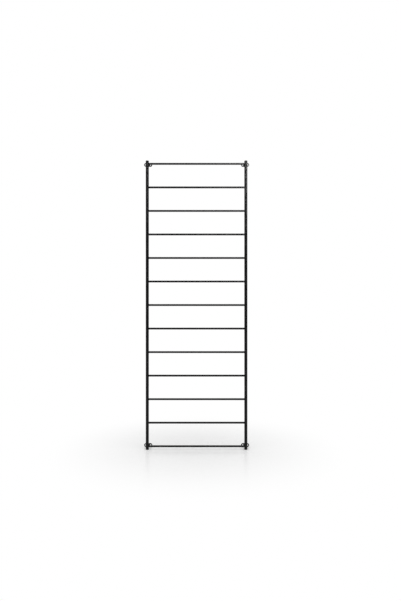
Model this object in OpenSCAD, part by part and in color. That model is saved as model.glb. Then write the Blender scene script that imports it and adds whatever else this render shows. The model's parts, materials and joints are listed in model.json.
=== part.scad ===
// Espalier frame: a ladder-shaped wall trellis of welded round steel tube.
// Two upright stiles carry a row of rungs, and a flanged stand-off at each corner screws to the wall.
// Millimetres. +X to the right, +Y towards the wall, +Z up.
// The origin lies on the wall plane, at the middle of the wall screws.

/* [Frame] */
// Distance between the axes of the two stiles
stile_spacing = 511; // [300:1:900]
// Number of rungs
rung_count = 13; // [4:1:18]
// Distance between the axes of neighbouring rungs
rung_pitch = 122; // [60:1:200]

/* [Stiles] */
// Outer diameter of a stile tube
stile_d = 16; // [12:0.5:20]
// Wall of a stile tube
stile_wall = 1.2; // [0.8:0.1:2]

/* [Rungs] */
// Outer diameter of a rung tube
rung_d = 10; // [6:0.5:12]
// Wall of a rung tube
rung_wall = 1; // [0.6:0.1:2]
// Distance from the end of a rung to the axis of the stile that it enters
rung_end_gap = 1.5; // [0.5:0.1:3]

/* [End caps] */
// Length of the plug that holds a cap in the end of its stile
plug_length = 8; // [6:0.5:20]
// Free length of bore between a plug and the outermost rung
plug_to_rung = 1.5; // [0.5:0.5:10]
// Number of grip ribs round a plug
plug_ribs = 3; // [2:1:5]
// Width of a grip rib along the plug
rib_width = 0.8; // [0.5:0.1:1]
// Height of a grip rib above the plug's core
rib_height = 0.7; // [0.3:0.1:1.5]
// Height of the straight rim of a top cap
cap_rim = 0.8; // [0.5:0.1:3]
// Rise of the dome of a top cap above its rim
cap_dome = 2.3; // [1:0.1:5]
// Thickness of the flat pad of a foot cap
foot_pad = 2.5; // [1:0.1:6]

/* [Wall brackets] */
// Distance from the wall to the axis of the stiles
wall_distance = 50; // [30:1:120]
// Step in from the side of a stile to the side of a stand-off post
post_inset = 3; // [2:0.5:5]
// Clear length of stile between a stand-off post and the end of the stile
post_to_end = 2.5; // [1:0.5:4]
// Thickness of a wall flange
flange_thickness = 3; // [2:0.5:6]
// Height of a wall flange, which is also the diameter of its round ends
flange_height = 20; // [16.5:0.5:28]
// Distance from the centre of a screw hole to the end of its flange
flange_end = 8.5; // [7:0.5:16]
// Diameter of a screw hole
screw_hole_d = 7; // [4:0.5:10]
// Clear width between the side of a stile and the edge of a screw hole
screw_to_stile = 1.5; // [0.5:0.25:10]

/* [Fits] */
// Radial clearance of a rung in its hole, of a plug in its bore and under a weld bead
fit_gap = 0.05; // [0.02:0.01:0.2]
// Leg of a weld bead
weld_leg = 0.8; // [0.6:0.1:1.2]

/* [Hidden] */
$fn = 64;
// Length by which a cutting shape runs past the face that it cuts
cut = 1;

stile_bore = stile_d - 2 * stile_wall;
stile_x = stile_spacing / 2;
rung_bore = rung_d - 2 * rung_wall;
rung_length = stile_spacing - 2 * rung_end_gap;
outer_rung_z = (rung_count - 1) / 2 * rung_pitch;
stile_end_z = outer_rung_z + rung_d / 2 + plug_to_rung + plug_length;
rib_pitch = (plug_length - rib_width) / plug_ribs;
dome_r = (pow(stile_d / 2, 2) + pow(cap_dome, 2)) / (2 * cap_dome);
post_d = stile_d - 2 * post_inset;
post_z = stile_end_z - post_to_end - post_d / 2;
// The outer edge of a flange is level with the foot
flange_z = stile_end_z + foot_pad - flange_height / 2;
hole_spacing = stile_d + 2 * screw_to_stile + screw_hole_d;
flange_length = hole_spacing + 2 * flange_end;

// Name, side and end of each wall bracket
CORNERS = [
    ["top_left", -1, 1],
    ["top_right", 1, 1],
    ["bottom_left", -1, -1],
    ["bottom_right", 1, -1]
];
// Name and side of each stile
SIDES = [
    ["left", -1],
    ["right", 1]
];
PAINTED_STEEL = [0.07, 0.07, 0.075];
BLACK_PLASTIC = [0.10, 0.10, 0.10];

// Height of a rung's axis, counted from the bottom rung
function rung_z(number) = (number - 1) * rung_pitch - outer_rung_z;
function rung_name(number) = str("rung_", number < 10 ? "0" : "", number);

// Moves a shape made at the origin to the axis of one stile
module on_stile(side) {
    translate([side * stile_x, -wall_distance, 0]) children();
}

// Turns a shape that points along +X from a stile towards the other stile
module inwards(side) {
    rotate([0, 0, side > 0 ? 180 : 0]) children();
}

// Round bar along +X from the origin
module bar_along_x(diameter, length) {
    rotate([0, 90, 0]) cylinder(d = diameter, h = length);
}

// Round bar from the front of a flange forwards, on the axis of a stand-off post
module bar_from_flange(side, end, diameter, length) {
    translate([side * stile_x, -flange_thickness, end * post_z])
        rotate([90, 0, 0])
            cylinder(d = diameter, h = length);
}

// Upright tube with a row of holes in the side that faces the other stile
module stile(side) {
    color(PAINTED_STEEL)
        on_stile(side)
            difference() {
                cylinder(d = stile_d, h = 2 * stile_end_z, center = true);
                cylinder(d = stile_bore, h = 2 * (stile_end_z + cut), center = true);
                for (number = [1:rung_count])
                    translate([0, 0, rung_z(number)])
                        inwards(side)
                            bar_along_x(rung_d + 2 * fit_gap, stile_d);
            }
}

// Cross tube whose ends sit inside the bores of the stiles
module rung(number) {
    color(PAINTED_STEEL)
        translate([-rung_length / 2, -wall_distance, rung_z(number)])
            difference() {
                bar_along_x(rung_d, rung_length);
                translate([-cut, 0, 0]) bar_along_x(rung_bore, rung_length + 2 * cut);
            }
}

// Ribbed plug that hangs down from the origin, into the bore of a stile
module plug() {
    rib_d = stile_bore - 2 * fit_gap;
    core_d = rib_d - 2 * rib_height;
    translate([0, 0, -plug_length]) {
        cylinder(d = core_d, h = plug_length);
        for (place = [0:plug_ribs - 1])
            translate([0, 0, place * rib_pitch])
                cylinder(d = rib_d, h = rib_width);
    }
}

// Domed cap on the top end of a stile
module top_cap(side) {
    color(BLACK_PLASTIC)
        on_stile(side)
            translate([0, 0, stile_end_z]) {
                plug();
                cylinder(d = stile_d, h = cap_rim);
                translate([0, 0, cap_rim])
                    intersection() {
                        translate([0, 0, cap_dome - dome_r]) sphere(r = dome_r);
                        cylinder(d = stile_d, h = cap_dome + cut);
                    }
            }
}

// Flat cap under the lower end of a stile
module foot_cap(side) {
    color(BLACK_PLASTIC)
        on_stile(side)
            translate([0, 0, -stile_end_z])
                rotate([180, 0, 0]) {
                    plug();
                    cylinder(d = stile_d, h = foot_pad);
                }
}

// Round bar from a wall flange to the back of a stile, with its end cut to the tube's curve
module standoff_post(side, end) {
    color(PAINTED_STEEL)
        difference() {
            bar_from_flange(side, end, post_d, wall_distance - flange_thickness);
            on_stile(side)
                translate([0, 0, end * post_z])
                    cylinder(d = stile_d + 2 * fit_gap, h = 2 * post_d, center = true);
        }
}

// Plate with round ends and a screw hole either side of the stile
module wall_flange(side, end) {
    color(PAINTED_STEEL)
        translate([side * stile_x, 0, end * flange_z])
            rotate([90, 0, 0])
                linear_extrude(height = flange_thickness)
                    difference() {
                        union() {
                            square([flange_length - flange_height, flange_height], center = true);
                            for (way = [-1, 1])
                                translate([way * (flange_length - flange_height) / 2, 0])
                                    circle(d = flange_height);
                        }
                        for (way = [-1, 1])
                            translate([way * hole_spacing / 2, 0])
                                circle(d = screw_hole_d);
                    }
}

// Bead round a bar that meets a stile at the origin and points along +X
module saddle_bead(bar_d) {
    difference() {
        intersection() {
            cylinder(d = stile_d + 2 * weld_leg, h = 2 * bar_d, center = true);
            bar_along_x(bar_d + 2 * weld_leg, stile_d);
        }
        cylinder(d = stile_d + 2 * fit_gap, h = 2 * bar_d + 2 * cut, center = true);
        bar_along_x(bar_d + 2 * fit_gap, stile_d + cut);
    }
}

// Beads that hold the rungs in one stile
module rung_welds(side) {
    color(PAINTED_STEEL)
        on_stile(side)
            for (number = [1:rung_count])
                translate([0, 0, rung_z(number)])
                    inwards(side)
                        saddle_bead(rung_d);
}

// Beads that hold the stand-off posts on the backs of the stiles
module post_welds() {
    color(PAINTED_STEEL)
        for (corner = CORNERS)
            on_stile(corner[1])
                translate([0, 0, corner[2] * post_z])
                    rotate([0, 0, 90])
                        saddle_bead(post_d);
}

// Beads that hold the stand-off posts on the wall flanges
module flange_welds() {
    inner_r = post_d / 2 + fit_gap;
    color(PAINTED_STEEL)
        for (corner = CORNERS)
            translate([corner[1] * stile_x, -flange_thickness, corner[2] * post_z])
                rotate([90, 0, 0])
                    rotate_extrude()
                        polygon([
                            [inner_r, 0],
                            [inner_r + weld_leg, 0],
                            [inner_r, weld_leg]
                        ]);
}

for (side = SIDES) stile(side[1]);
for (number = [1:rung_count]) rung(number);
for (side = SIDES) top_cap(side[1]);
for (side = SIDES) foot_cap(side[1]);
for (corner = CORNERS)
    standoff_post(corner[1], corner[2]);
for (corner = CORNERS)
    wall_flange(corner[1], corner[2]);
for (side = SIDES) rung_welds(side[1]);
post_welds();
flange_welds();
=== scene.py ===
"""Espalier frame: a welded ladder of black coated steel tube on four wall stand-offs.

Each piece is a surface worked out with numpy in the frame of the solids: metres, +X to the right,
+Y towards the wall, +Z up. Sizes and places come from the boxes of the solids and from the record.
"""
import json
import math

import bmesh
import bpy
import numpy as np
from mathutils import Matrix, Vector


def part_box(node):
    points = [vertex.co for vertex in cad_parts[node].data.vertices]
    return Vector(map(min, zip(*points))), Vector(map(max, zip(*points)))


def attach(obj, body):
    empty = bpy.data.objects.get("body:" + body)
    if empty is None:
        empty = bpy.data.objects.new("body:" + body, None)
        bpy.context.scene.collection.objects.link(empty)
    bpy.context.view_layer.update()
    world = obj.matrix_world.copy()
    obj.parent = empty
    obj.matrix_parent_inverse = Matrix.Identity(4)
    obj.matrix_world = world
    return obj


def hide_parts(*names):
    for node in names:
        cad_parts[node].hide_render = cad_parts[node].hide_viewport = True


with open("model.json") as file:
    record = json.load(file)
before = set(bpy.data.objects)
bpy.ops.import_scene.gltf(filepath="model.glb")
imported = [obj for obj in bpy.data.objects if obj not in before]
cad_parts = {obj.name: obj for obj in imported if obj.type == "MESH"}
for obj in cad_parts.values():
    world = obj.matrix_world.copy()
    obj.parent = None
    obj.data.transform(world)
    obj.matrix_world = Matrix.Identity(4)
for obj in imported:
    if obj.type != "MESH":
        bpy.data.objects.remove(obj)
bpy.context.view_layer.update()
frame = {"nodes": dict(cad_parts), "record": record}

TURN = 2 * np.pi
MM = 0.001


# Sizes of the solids

def span(node):
    """Lowest and highest corner of a node's box, as arrays."""
    return tuple(np.array(corner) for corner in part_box(node))


stile_low, stile_high = span("stile_left")
rung_low, rung_high = span("rung_01")
post_low, post_high = span("standoff_post_bottom_left")
flange_low, flange_high = span("wall_flange_bottom_left")
bead_high = span("rung_welds_left")[1]
screws = {mount["name"]: mount["dims"] for mount in frame["record"]["mounts"]}["wall_screws_outer"]

# Sizes that no box shows
STILE_WALL = 1.2 * MM
RUNG_WALL = 1.0 * MM
PLUG_RIBS = 3
RIB_WIDTH = 0.8 * MM
RIB_HEIGHT = 0.7 * MM
CAP_RIM = 0.8 * MM
FIT_GAP = 0.05 * MM

STILE_R = (stile_high[0] - stile_low[0]) / 2
STILE_BORE_R = STILE_R - STILE_WALL
STILE_X = -(stile_low[0] + stile_high[0]) / 2
STILE_END = stile_high[2]
TUBE_Y = (rung_low[1] + rung_high[1]) / 2
RUNGS = sorted(name for name in frame["nodes"] if name.startswith("rung_") and name[5:].isdigit())
RUNG_Z = np.array([(span(name)[0][2] + span(name)[1][2]) / 2 for name in RUNGS])
RUNG_HALF = rung_high[0]
RUNG_R = (rung_high[2] - rung_low[2]) / 2
RUNG_BORE_R = RUNG_R - RUNG_WALL
PLUG_LENGTH = STILE_END - span("top_cap_left")[0][2]
CAP_TOP = span("top_cap_left")[1][2]
FOOT = span("foot_cap_left")[0][2]
POST_R = (post_high[0] - post_low[0]) / 2
POST_Z = -(post_low[2] + post_high[2]) / 2
FLANGE_HALF = (flange_high - flange_low) / 2
FLANGE_Z = -(flange_low[2] + flange_high[2]) / 2
FLANGE_FRONT = flange_low[1]
FLANGE_BACK = 0.0
HOLE_R = screws["hole_r_mm"] * MM
HOLE_AT = screws["spacing_x_mm"] * MM / 2 - STILE_X
WELD_LEG = bead_high[0] - stile_high[0]

# How far a rounded edge reaches from its corner
STILE_EDGE = 0.25 * MM
RUNG_EDGE = 0.2 * MM
PLUG_EDGE = 0.12 * MM
CAP_UNDER_EDGE = 0.15 * MM
CAP_RIM_EDGE = 0.3 * MM
FOOT_EDGE = 0.5 * MM
FLANGE_FRONT_EDGE = 0.7 * MM
FLANGE_BACK_EDGE = 0.3 * MM
HOLE_EDGE = 0.45 * MM

# Ripples round a weld bead, and points along each ripple
RUNG_RIPPLES = 20
POST_RIPPLES = 24
RIPPLE_POINTS = 8
# Shift of the ripples from one bead to the next, and on the first flange, in radians
RUNG_SHIFT = 2.4
POST_SHIFT = 1.9
FLANGE_SHIFT = 1.3
FLANGE_START = 0.7

# Points nearer than this are merged, and faces that meet at a sharper angle than this keep their edge
MERGE = 1e-6
SHARP = math.radians(40)

# Name of each stile and the way along X from it to the other one
SIDES = (("left", 1), ("right", -1))
# Name of each wall bracket, its side along X and its end along Z
CORNERS = (("top_left", -1, 1), ("top_right", 1, 1), ("bottom_left", -1, -1), ("bottom_right", 1, -1))


# Surfaces

def around(count):
    """Angles of a full turn in even steps."""
    return np.linspace(0, TURN, count, endpoint=False)


def grid_faces(rows, cols, wrap_rows, wrap_cols):
    """Quads between the neighbours of a grid of points, joined round where the grid wraps."""
    row, col = np.meshgrid(np.arange(rows if wrap_rows else rows - 1),
                           np.arange(cols if wrap_cols else cols - 1), indexing="ij")
    next_row, next_col = (row + 1) % rows, (col + 1) % cols
    return np.stack([row * cols + col, row * cols + next_col,
                     next_row * cols + next_col, next_row * cols + col], axis=-1)


def patch(points, wrap_rows=False, wrap_cols=False, edge=0.0, keep=None):
    """A grid of points with its faces and its share of thin coat, one value for all or one for each row.

    Where keep is given, only the faces that it marks are made.
    """
    rows, cols = points.shape[:2]
    faces = grid_faces(rows, cols, wrap_rows, wrap_cols)
    faces = faces.reshape(-1, 4) if keep is None else faces[keep]
    edge = np.broadcast_to(np.reshape(edge, (-1, 1)), (rows, cols))
    return points.reshape(-1, 3), faces, edge.reshape(-1)


def moved(patches, flip=(1, 1, 1), by=(0, 0, 0)):
    """The same patches mirrored by the signs in flip and then moved."""
    flip, by = np.array(flip, float), np.array(by, float)
    return [(points * flip + by, faces, edge) for points, faces, edge in patches]


def rounded(corners, reach, steps=6, closed=False):
    """Outline whose corners are short parabolas that touch both sides, and how sharp each point is, 0 to 1.

    The parabola leaves a side at the distance reach from the corner, and its middle is the sharpest point.
    An open outline keeps its two end points.
    """
    corners = np.asarray(corners, float)
    reach = np.broadcast_to(np.asarray(reach, float), len(corners))[:, None, None]
    before = np.roll(corners, 1, 0) - corners
    after = np.roll(corners, -1, 0) - corners
    before = (before / np.linalg.norm(before, axis=1, keepdims=True))[:, None]
    after = (after / np.linalg.norm(after, axis=1, keepdims=True))[:, None]
    t = np.linspace(0, 1, steps)[None, :, None]
    corner = corners[:, None]
    start, stop = corner + before * reach, corner + after * reach
    curve = (1 - t) ** 2 * start + 2 * t * (1 - t) * corner + t ** 2 * stop
    near = np.broadcast_to(np.sin(np.pi * t) * (reach > 0), curve.shape[:2] + (1,)).copy()
    if not closed:
        curve[0], curve[-1] = corners[0], corners[-1]
        near[0], near[-1] = 0, 0
    return curve.reshape(-1, 2), near.reshape(-1)


def turned(profile, axis, centre=(0, 0, 0), sides=48, edge=0.0, closed=False):
    """Surface of revolution: each (radius, height) of a profile carried round an axis (0 X, 1 Y, 2 Z)."""
    angle = around(sides)
    points = np.empty((len(profile), sides, 3))
    points[..., axis] = profile[:, 1:]
    points[..., (axis + 1) % 3] = profile[:, :1] * np.cos(angle)
    points[..., (axis + 2) % 3] = profile[:, :1] * np.sin(angle)
    return patch(points + np.array(centre), wrap_rows=closed, wrap_cols=True, edge=edge)


def build(name, patches, finish, slot, *nodes):
    """One closed mesh from patches, whose points are merged where they meet.

    Its faces turn outwards, and all but its sharp edges are smooth. The piece rides on the frame, stands for
    its nodes and takes the given finish. Its slot is not used.
    """
    points, faces, edges = zip(*patches)
    starts = np.cumsum([0] + [len(part) for part in points[:-1]])
    faces = np.concatenate([part + start for part, start in zip(faces, starts)])
    mesh = bpy.data.meshes.new(name)
    mesh.from_pydata(np.concatenate(points).tolist(), [], faces.tolist())
    thin = mesh.attributes.new("thin_coat", "FLOAT", "POINT")
    thin.data.foreach_set("value", np.concatenate(edges))
    shell = bmesh.new()
    shell.from_mesh(mesh)
    bmesh.ops.remove_doubles(shell, verts=shell.verts, dist=MERGE)
    bmesh.ops.recalc_face_normals(shell, faces=shell.faces)
    shell.to_mesh(mesh)
    shell.free()
    mesh.shade_smooth()
    mesh.set_sharp_from_angle(angle=SHARP)
    mesh.materials.append(finish)
    piece = bpy.data.objects.new(name, mesh)
    bpy.context.scene.collection.objects.link(piece)
    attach(piece, "root")
    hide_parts(*nodes)


def stile_tube():
    """Tube along Z with a round hole towards +X at each rung.

    A wall is a grid of angle and height. Round each hole a block of its cells gives way to rings that go
    from the hole's curve, where y squared plus z squared is the hole's radius squared, to the border of
    the block.
    """
    sides, half_cols, half_height, rows, rings = 64, 10, 8 * MM, 8, 5
    hole_r = RUNG_R + FIT_GAP
    step = TURN / sides
    end = STILE_END - STILE_EDGE
    rise = np.linspace(-half_height, half_height, rows + 1)
    levels = np.concatenate([[-end], (RUNG_Z[:, None] + rise).ravel(), [end]])
    cols = np.arange(-half_cols, half_cols)
    lines = np.arange(rows)
    keep = np.ones((len(levels) - 1, sides), bool)
    block_rows = (1 + np.arange(len(RUNG_Z))[:, None] * (rows + 1) + lines).ravel()
    keep[np.ix_(block_rows, cols % sides)] = False
    border = np.concatenate([
        np.stack([cols * step, np.full(len(cols), rise[0])], 1),
        np.stack([np.full(rows, half_cols * step), rise[lines]], 1),
        np.stack([-cols * step, np.full(len(cols), rise[-1])], 1),
        np.stack([np.full(rows, -half_cols * step), rise[rows - lines]], 1)])
    way = np.arctan2(border[:, 1], border[:, 0] * STILE_R)
    t = np.linspace(0, 1, rings)[:, None]

    def on_wall(radius, angle, height):
        """Points at an angle and a height on a round wall."""
        return np.stack([radius * np.cos(angle), radius * np.sin(angle), height + 0 * angle], -1)

    patches = []
    mouths = []
    for radius in (STILE_R, STILE_BORE_R):
        angle, height = np.meshgrid(np.arange(sides) * step, levels)
        patches.append(patch(on_wall(radius, angle, height), wrap_cols=True, keep=keep))
        mouth = np.stack([np.arcsin(hole_r * np.cos(way) / radius), hole_r * np.sin(way)], 1)
        ring_angle = (1 - t) * mouth[:, 0] + t * border[:, 0]
        ring_height = (1 - t) * mouth[:, 1] + t * border[:, 1]
        patches += [patch(on_wall(radius, ring_angle, ring_height + z), wrap_cols=True) for z in RUNG_Z]
        mouths.append(on_wall(radius, mouth[:, 0], mouth[:, 1]))
    hole_wall = patch(np.stack(mouths), wrap_cols=True)
    patches += [moved([hole_wall], by=(0, 0, z))[0] for z in RUNG_Z]
    rim, near = rounded([(STILE_R, end), (STILE_R, STILE_END),
                         (STILE_BORE_R, STILE_END), (STILE_BORE_R, end)], STILE_EDGE)
    return patches + [turned(rim * (1, sign), 2, sides=sides, edge=near) for sign in (1, -1)]


def rung_tube(z):
    """Tube along X: a closed ring of wall and rounded end edges carried round the rung's axis."""
    ring, near = rounded([(RUNG_R, -RUNG_HALF), (RUNG_R, RUNG_HALF),
                          (RUNG_BORE_R, RUNG_HALF), (RUNG_BORE_R, -RUNG_HALF)], RUNG_EDGE, closed=True)
    return [turned(ring, 0, centre=(0, TUBE_Y, z), edge=near, closed=True)]


def plug_outline():
    """Half outline of the ribbed plug, from its inner end up to the stile's end at height 0."""
    rib_r = STILE_BORE_R - FIT_GAP
    core_r = rib_r - RIB_HEIGHT
    low = -PLUG_LENGTH + np.arange(PLUG_RIBS) * (PLUG_LENGTH - RIB_WIDTH) / PLUG_RIBS
    ribs = [[(core_r, z), (rib_r, z), (rib_r, z + RIB_WIDTH), (core_r, z + RIB_WIDTH)] for z in low]
    return [(0, -PLUG_LENGTH)] + [point for rib in ribs for point in rib][1:] + [(core_r, 0)]


def top_cap():
    """Domed cap on a ribbed plug: its outline carried round Z. The dome is an arc from the rim to the pole.

    The arc's first few points give way to the rounded edge between the rim and the dome.
    """
    rise = CAP_TOP - STILE_END - CAP_RIM
    dome_r = (STILE_R ** 2 + rise ** 2) / (2 * rise)
    angle = np.linspace(np.arcsin(STILE_R / dome_r), 0, 20)
    dome = np.stack([dome_r * np.sin(angle), CAP_RIM + rise - dome_r * (1 - np.cos(angle))], 1)[3:]
    lower = plug_outline() + [(STILE_R, 0), (STILE_R, CAP_RIM)]
    reach = [0] + [PLUG_EDGE] * (len(lower) - 3) + [CAP_UNDER_EDGE, CAP_RIM_EDGE, 0]
    line, near = rounded(lower + [tuple(dome[0])], reach)
    line = np.concatenate([line, dome[1:]])
    near = np.concatenate([near, np.zeros(len(dome) - 1)])
    return [turned(line, 2, centre=(0, 0, STILE_END), sides=64, edge=near)]


def foot_cap():
    """Flat pad under a ribbed plug: its outline carried round Z, with the pad's lower edge rounded."""
    pad = -STILE_END - FOOT
    lower = plug_outline() + [(STILE_R, 0), (STILE_R, pad), (0, pad)]
    reach = [0] + [PLUG_EDGE] * (len(lower) - 4) + [CAP_UNDER_EDGE, FOOT_EDGE, 0]
    line, near = rounded(lower, reach)
    return [turned(line * (1, -1), 2, centre=(0, 0, -STILE_END), sides=64, edge=near)]


def standoff_post():
    """Bar along Y from the flange to the stile: rings from the middle of one end face to that of the other.

    The front end follows the tube's curve: its distance behind the stile's axis is the root of the stile's
    radius squared less x squared.
    """
    front = STILE_R + FIT_GAP
    back = FLANGE_FRONT - TUBE_Y
    face = np.linspace(0, 1, 7)
    length = np.linspace(0.02, 0.98, 5)
    share = np.concatenate([face, np.ones_like(length), face[::-1]])[:, None] * POST_R
    along = np.concatenate([np.zeros_like(face), length, np.ones_like(face)])[:, None]
    angle = around(56)
    x, z = share * np.cos(angle), share * np.sin(angle)
    saddle = np.sqrt(front ** 2 - x ** 2)
    y = TUBE_Y + (1 - along) * back + along * saddle
    return [patch(np.stack([x, y, z], -1), wrap_cols=True)]


def wall_flange():
    """Plate with round ends and two screw holes, made of a half and its mirror image.

    A face goes in rings from the hole to the outline, the outline's rounded edge is carried along the rim,
    and each hole's wall is carried round its axis.
    """
    half_x, _, half_z = FLANGE_HALF
    reach_x = half_x - half_z
    hole_mouth = HOLE_R + HOLE_EDGE
    halfway = (FLANGE_FRONT + FLANGE_BACK) / 2
    straight = np.linspace(0, reach_x, 9)
    flat = np.zeros_like(straight)
    arc = np.linspace(np.pi / 2, -np.pi / 2, 41)[1:-1]
    outward = np.concatenate([np.stack([flat, flat + 1], 1), np.stack([np.cos(arc), np.sin(arc)], 1),
                              np.stack([flat, flat - 1], 1)])
    rim = half_z * outward
    rim[:, 0] += np.concatenate([straight, np.full(len(arc), reach_x), straight[::-1]])
    t = np.linspace(0, 1, 7)[:, None]

    def lay(x, y, z):
        """Points from the three coordinates, each spread over the same grid."""
        return np.stack(np.broadcast_arrays(x, y, z), -1)

    def with_middle(line):
        """The outline of a half, closed by a row of points down the middle of the plate."""
        middle = np.linspace(line[-1, 1], line[0, 1], 14)[1:-1]
        return np.concatenate([line, np.stack([0 * middle, middle], 1)])

    from_hole = with_middle(rim) - (HOLE_AT, 0)
    angle = np.arctan2(from_hole[:, 1], from_hole[:, 0])
    half = []
    for y, inset in ((FLANGE_FRONT, FLANGE_FRONT_EDGE), (FLANGE_BACK, FLANGE_BACK_EDGE)):
        outer = with_middle(rim - inset * outward)
        x = (1 - t) * (HOLE_AT + hole_mouth * np.cos(angle)) + t * outer[:, 0]
        z = (1 - t) * hole_mouth * np.sin(angle) + t * outer[:, 1]
        half.append(patch(lay(x, y, z), wrap_cols=True))
        wall, near = rounded([(hole_mouth, y), (HOLE_R, y), (HOLE_R, halfway)], HOLE_EDGE)
        radius, depth = wall[:, :1], wall[:, 1:]
        half.append(patch(lay(HOLE_AT + radius * np.cos(angle), depth, radius * np.sin(angle)),
                          wrap_cols=True, edge=near))
    side, near = rounded([(FLANGE_FRONT_EDGE, FLANGE_FRONT), (0, FLANGE_FRONT),
                          (0, FLANGE_BACK), (FLANGE_BACK_EDGE, FLANGE_BACK)],
                         [0, FLANGE_FRONT_EDGE, FLANGE_BACK_EDGE, 0])
    x = rim[:, 0] - side[:, :1] * outward[:, 0]
    z = rim[:, 1] - side[:, :1] * outward[:, 1]
    half.append(patch(lay(x, side[:, 1:], z), edge=near))
    return half + moved(half, flip=(-1, 1, 1))


def bead_section(turns, ripples, phase):
    """Section of a weld bead at each angle, as shares of its leg along the two faces that it joins.

    The face bulges halfway between a straight line and a round arc. Crescent ripples run along it, each a
    cosine whose phase lags towards the toes, and a slow wave varies its width. The last point is the root.
    """
    bulge, lag_at_toes, size, ripple_share, slow_share = 0.5, 1.6, 0.9, 0.06, 0.025
    t = np.linspace(0, 1, 9)
    arc = np.stack([np.cos(t * np.pi / 2), np.sin(t * np.pi / 2)])
    face = bulge * arc + (1 - bulge) * np.stack([1 - t, t])
    lag = lag_at_toes * (2 * t - 1) ** 2
    ripple = np.sin(np.pi * t) * np.cos(ripples * turns[:, None] - lag + phase)
    slow = np.cos(2 * turns + 1.7 * phase) + 0.6 * np.cos(5 * turns - phase)
    scale = size + ripple_share * ripple + slow_share * slow[:, None]
    root = np.zeros((len(turns), 1))
    return [np.concatenate([way * scale, root], 1) for way in face]


def saddle_bead(bar_r, ripples, phase):
    """Bead round a bar along +X that leaves a stile along Z.

    A point lies at the radius S from the stile's axis and at the radius P from the bar's axis, so with the
    angle a round the bar its place is x = root(S squared - (P cos a) squared), y = P cos a, z = P sin a.
    """
    angle = around(RIPPLE_POINTS * ripples)
    u, v = bead_section(angle, ripples, phase)
    stile_way = STILE_R + FIT_GAP + (WELD_LEG - FIT_GAP) * u
    bar_way = bar_r + FIT_GAP + (WELD_LEG - FIT_GAP) * v
    y = bar_way * np.cos(angle)[:, None]
    z = bar_way * np.sin(angle)[:, None]
    return patch(np.stack([np.sqrt(stile_way ** 2 - y ** 2), y, z], -1), wrap_rows=True, wrap_cols=True)


def rung_beads(phase):
    """The beads of all rungs on one stile at X 0, each with its own place in the ripples."""
    beads = []
    for number, z in enumerate(RUNG_Z):
        beads += moved([saddle_bead(RUNG_R, RUNG_RIPPLES, phase + RUNG_SHIFT * number)], by=(0, TUBE_Y, z))
    return beads


def post_bead(phase):
    """Bead round a stand-off post on the back of a stile at X 0 and height 0."""
    points, faces, edge = saddle_bead(POST_R, POST_RIPPLES, phase)
    return points[:, [1, 0, 2]] + np.array([0, TUBE_Y, 0]), faces, edge


def flange_bead(phase):
    """Bead round a post on its flange, at X 0 and height 0: the section carried round the post."""
    angle = around(RIPPLE_POINTS * POST_RIPPLES)
    u, v = bead_section(angle, POST_RIPPLES, phase)
    radius = POST_R + FIT_GAP + (WELD_LEG - FIT_GAP) * v
    points = np.stack([radius * np.cos(angle)[:, None], FLANGE_FRONT - WELD_LEG * u,
                       radius * np.sin(angle)[:, None]], -1)
    return patch(points, wrap_rows=True, wrap_cols=True)


# Finishes

def put(tree, kind, values=(), **settings):
    """A node with its settings, and its inputs set to values or linked from sockets."""
    made = tree.nodes.new(kind)
    for name, value in settings.items():
        setattr(made, name, value)
    for name, value in dict(values).items():
        if isinstance(value, bpy.types.NodeSocket):
            tree.links.new(value, made.inputs[name])
        else:
            made.inputs[name].default_value = value
    return made


def coat_grain_group():
    """Shared grain of a sprayed or moulded skin: a rolling peel, tiny specks and a slow drift of tone."""
    group = bpy.data.node_groups.new("coat_grain", "ShaderNodeTree")
    sockets = group.interface
    sockets.new_socket("Vector", in_out="INPUT", socket_type="NodeSocketVector")
    for name, value in (("Peel Scale", 800.0), ("Speck Scale", 2400.0),
                        ("Drift Scale", 30.0), ("Speck Share", 0.3)):
        sockets.new_socket(name, in_out="INPUT", socket_type="NodeSocketFloat").default_value = value
    for name in ("Height", "Speck", "Drift"):
        sockets.new_socket(name, in_out="OUTPUT", socket_type="NodeSocketFloat")
    given = group.nodes.new("NodeGroupInput").outputs

    def noise(scale, detail, roughness):
        """A noise over the surface at one of the group's scales."""
        return put(group, "ShaderNodeTexNoise", {"Vector": given["Vector"], "Scale": given[scale],
                                                 "Detail": detail, "Roughness": roughness}).outputs["Fac"]

    peel = noise("Peel Scale", 1.5, 0.45)
    speck = noise("Speck Scale", 2.0, 0.6)
    drift = noise("Drift Scale", 4.0, 0.55)
    height = put(group, "ShaderNodeMix", {"Factor": given["Speck Share"], "A": peel, "B": speck})
    spread = put(group, "ShaderNodeMapRange", {"Value": drift, "From Min": 0.3, "From Max": 0.7})
    put(group, "NodeGroupOutput", {"Height": height.outputs["Result"], "Speck": speck,
                                   "Drift": spread.outputs["Result"]})
    return group


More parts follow.
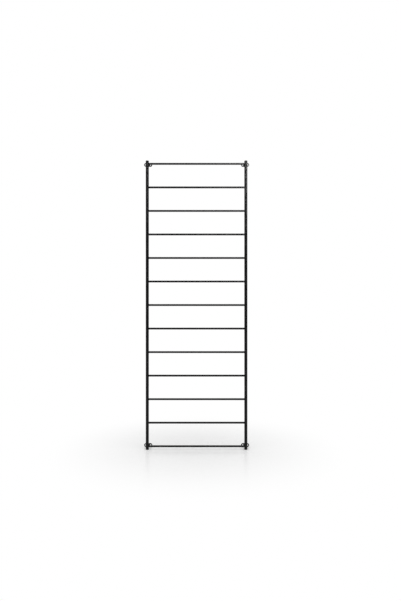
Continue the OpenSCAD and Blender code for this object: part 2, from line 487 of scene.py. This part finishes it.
def finish(name, grain, dark, pale, worn, rough, peel, specks, drift, speck_share, depth, level):
    """A dark skin whose tone, gloss and height come from the grain, a little paler where it runs thin.

    dark, pale and worn are colours, rough gives the lowest and highest roughness, and depth is in metres.
    """
    material = bpy.data.materials.new(name)
    material.use_nodes = True
    tree = material.node_tree
    shader = tree.nodes["Principled BSDF"]
    place = put(tree, "ShaderNodeTexCoord")
    skin = put(tree, "ShaderNodeGroup",
               {"Vector": place.outputs["Object"], "Peel Scale": peel, "Speck Scale": specks,
                "Drift Scale": drift, "Speck Share": speck_share}, node_tree=grain).outputs
    thin = put(tree, "ShaderNodeAttribute", attribute_name="thin_coat")
    ragged = put(tree, "ShaderNodeMath", {0: thin.outputs["Fac"], 1: skin["Drift"]}, operation="MULTIPLY")
    tone = put(tree, "ShaderNodeMix", {"Factor": skin["Drift"], "A": dark, "B": pale}, data_type="RGBA")
    colour = put(tree, "ShaderNodeMix",
                 {"Factor": ragged.outputs[0], "A": tone.outputs["Result"], "B": worn}, data_type="RGBA")
    gloss = put(tree, "ShaderNodeMix", {"Factor": 0.5, "A": skin["Drift"], "B": skin["Speck"]})
    roughness = put(tree, "ShaderNodeMapRange",
                    {"Value": gloss.outputs["Result"], "From Min": 0.2, "From Max": 0.8,
                     "To Min": rough[0], "To Max": rough[1]})
    bump = put(tree, "ShaderNodeBump", {"Height": skin["Height"], "Strength": 1.0, "Distance": depth})
    tree.links.new(colour.outputs["Result"], shader.inputs["Base Color"])
    tree.links.new(roughness.outputs["Result"], shader.inputs["Roughness"])
    tree.links.new(bump.outputs["Normal"], shader.inputs["Normal"])
    shader.inputs["Specular IOR Level"].default_value = level
    return material


grain = coat_grain_group()
satin_black = finish("satin_black_coat", grain, dark=(0.003, 0.003, 0.0032, 1),
                     pale=(0.0055, 0.0055, 0.0057, 1), worn=(0.018, 0.018, 0.018, 1), rough=(0.3, 0.5),
                     peel=1100.0, specks=2600.0, drift=26.0, speck_share=0.3, depth=0.07 * MM, level=0.17)
matt_black = finish("matt_black_plastic", grain, dark=(0.006, 0.006, 0.006, 1),
                    pale=(0.01, 0.01, 0.01, 1), worn=(0.02, 0.02, 0.02, 1), rough=(0.55, 0.7),
                    peel=2200.0, specks=5200.0, drift=60.0, speck_share=0.6, depth=0.012 * MM, level=0.25)


# Pieces

steel, plastic = "black_powder_coat", "black_plastic"
stile = stile_tube()
for side, inward in SIDES:
    build(f"coated_stile_{side}", moved(stile, (inward, 1, 1), (-inward * STILE_X, TUBE_Y, 0)),
          satin_black, steel, f"stile_{side}")
    build(f"moulded_top_cap_{side}", moved(top_cap(), by=(-inward * STILE_X, TUBE_Y, 0)),
          matt_black, plastic, f"top_cap_{side}")
    build(f"moulded_foot_cap_{side}", moved(foot_cap(), by=(-inward * STILE_X, TUBE_Y, 0)),
          matt_black, plastic, f"foot_cap_{side}")
    build(f"coated_rung_beads_{side}", moved(rung_beads(inward), (inward, 1, 1), (-inward * STILE_X, 0, 0)),
          satin_black, steel, f"rung_welds_{side}")
for name, z in zip(RUNGS, RUNG_Z):
    build(f"coated_{name}", rung_tube(z), satin_black, steel, name)
post_beads, flange_beads = [], []
for number, (corner, side, end) in enumerate(CORNERS):
    on_post = (side * STILE_X, 0, end * POST_Z)
    build(f"coated_post_{corner}", moved(standoff_post(), by=on_post),
          satin_black, steel, f"standoff_post_{corner}")
    build(f"coated_flange_{corner}", moved(wall_flange(), by=(side * STILE_X, 0, end * FLANGE_Z)),
          satin_black, steel, f"wall_flange_{corner}")
    post_beads += moved([post_bead(POST_SHIFT * number)], by=on_post)
    flange_beads += moved([flange_bead(FLANGE_START + FLANGE_SHIFT * number)], by=on_post)
build("coated_post_beads", post_beads, satin_black, steel, "post_welds")
build("coated_flange_beads", flange_beads, satin_black, steel, "flange_welds")


# Floor, light and camera

FLOOR_R = 5.0
# Near the feet the floor keeps most of its shading, and far out it is plain white
SHADED_R, WHITE_R = 0.1, 0.8
SHADED_SHARE, WHITE_SHARE = 0.2, 1.0
# Strength of the surroundings as light, and as gloss sees them in front of and behind the frame
SOFT_LIGHT, FRONT_GLOSS, BACK_GLOSS = 0.85, 0.05, 0.8
# Name of each lamp, its place, the point that it faces, its width, its watts and its spread in degrees
LAMPS = (("soft_box_above", (0.5, -1.0, 2.6), (0, TUBE_Y, 0), 1.4, 16, 180),
         ("soft_box_left", (-1.8, -2.2, 1.2), (0, 0, 0), 1.6, 4.4, 180),
         ("gridded_box_right", (0.85, -1.5, 1.5), (0.6, TUBE_Y, 1.05), 0.8, 15, 60))
# Camera: the picture's height in pixels, a pixel's size at the tubes, the distance from them, and how many
# pixels the camera stands to the right of and above the middle of the frame
PICTURE_ROWS = 601
PIXEL = 5.185 * MM
DISTANCE = 2.75
RIGHT_PIXELS, UP_PIXELS = 3.925, 4.55


def either(tree, first, second):
    """The larger of two masks."""
    return put(tree, "ShaderNodeMath", {0: first, 1: second}, operation="MAXIMUM").outputs[0]


def pale_floor():
    """Round floor at the feet: a grid of radius and angle.

    It catches soft shadows and fades to white far out. Rays from the camera, from gloss and through glass
    see the white, and rays that light a surface don't.
    """
    radius = FLOOR_R * np.linspace(0, 1, 24)[:, None] ** 1.6
    angle = around(64)
    points = np.stack([radius * np.cos(angle), radius * np.sin(angle), 0 * radius + FOOT + 0 * angle], -1)
    points, faces, _ = patch(points, wrap_cols=True)
    mesh = bpy.data.meshes.new("pale_floor")
    mesh.from_pydata(points.tolist(), [], faces.tolist())
    mesh.validate()
    floor = bpy.data.objects.new("pale_floor", mesh)
    bpy.context.scene.collection.objects.link(floor)
    material = bpy.data.materials.new("pale_floor")
    material.use_nodes = True
    tree = material.node_tree
    shader = tree.nodes["Principled BSDF"]
    shader.inputs["Base Color"].default_value = (0.9, 0.9, 0.9, 1)
    shader.inputs["Roughness"].default_value = 0.24
    shader.inputs["Specular IOR Level"].default_value = 0.5
    place = put(tree, "ShaderNodeTexCoord").outputs["Object"]
    reach = put(tree, "ShaderNodeVectorMath", {0: place, 1: (0, 0, -FOOT)}, operation="ADD")
    reach = put(tree, "ShaderNodeVectorMath", {0: reach.outputs[0]}, operation="LENGTH")
    fade = put(tree, "ShaderNodeMapRange",
               {"Value": reach.outputs["Value"], "From Min": SHADED_R, "From Max": WHITE_R,
                "To Min": SHADED_SHARE, "To Max": WHITE_SHARE}, interpolation_type="SMOOTHSTEP")
    path = put(tree, "ShaderNodeLightPath").outputs
    direct = either(tree, path["Is Camera Ray"], path["Is Transmission Ray"])
    seen = either(tree, direct, path["Is Glossy Ray"])
    share = put(tree, "ShaderNodeMath", {0: fade.outputs["Result"], 1: seen}, operation="MULTIPLY")
    white = put(tree, "ShaderNodeEmission", {"Color": (1, 1, 1, 1), "Strength": 1.0})
    mixed = put(tree, "ShaderNodeMixShader",
                {0: share.outputs[0], 1: shader.outputs[0], 2: white.outputs[0]})
    tree.links.new(mixed.outputs[0], tree.nodes["Material Output"].inputs["Surface"])
    mesh.materials.append(material)


def studio():
    """White surroundings that light softly all round, with gloss brightest from behind, and the lamps."""
    world = bpy.data.worlds.new("white_studio")
    world.use_nodes = True
    tree = world.node_tree
    ground = tree.nodes["Background"]
    ground.inputs["Color"].default_value = (1, 1, 1, 1)
    path = put(tree, "ShaderNodeLightPath").outputs
    way = put(tree, "ShaderNodeSeparateXYZ", {0: put(tree, "ShaderNodeTexCoord").outputs["Generated"]})
    behind = put(tree, "ShaderNodeMapRange", {"Value": way.outputs["Y"], "From Min": 0.2, "From Max": 1.0,
                                              "To Min": FRONT_GLOSS, "To Max": BACK_GLOSS})
    lit = put(tree, "ShaderNodeMix",
              {"Factor": path["Is Glossy Ray"], "A": SOFT_LIGHT, "B": behind.outputs["Result"]})
    direct = either(tree, path["Is Camera Ray"], path["Is Transmission Ray"])
    strength = put(tree, "ShaderNodeMix", {"Factor": direct, "A": lit.outputs["Result"], "B": 1.0})
    tree.links.new(strength.outputs["Result"], ground.inputs["Strength"])
    bpy.context.scene.world = world
    for name, place, aim, size, watts, spread in LAMPS:
        lamp = bpy.data.lights.new(name, "AREA")
        lamp.shape, lamp.size, lamp.energy, lamp.spread = "SQUARE", size, watts, math.radians(spread)
        box = bpy.data.objects.new(name, lamp)
        box.location = place
        box.rotation_euler = (Vector(aim) - Vector(place)).to_track_quat("-Z", "Y").to_euler()
        bpy.context.scene.collection.objects.link(box)


def view():
    """Camera straight on: the frame's middle lies a little left of and below the picture's middle."""
    data = bpy.data.cameras.new("front_view")
    data.sensor_width = 36.0
    data.lens = DISTANCE / PIXEL / PICTURE_ROWS * data.sensor_width
    camera = bpy.data.objects.new("front_view", data)
    camera.location = (RIGHT_PIXELS * PIXEL, TUBE_Y - DISTANCE, UP_PIXELS * PIXEL)
    camera.rotation_euler = (math.pi / 2, 0, 0)
    bpy.context.scene.collection.objects.link(camera)
    bpy.context.scene.camera = camera


pale_floor()
studio()
view()
bpy.context.scene.view_settings.view_transform = "Standard"
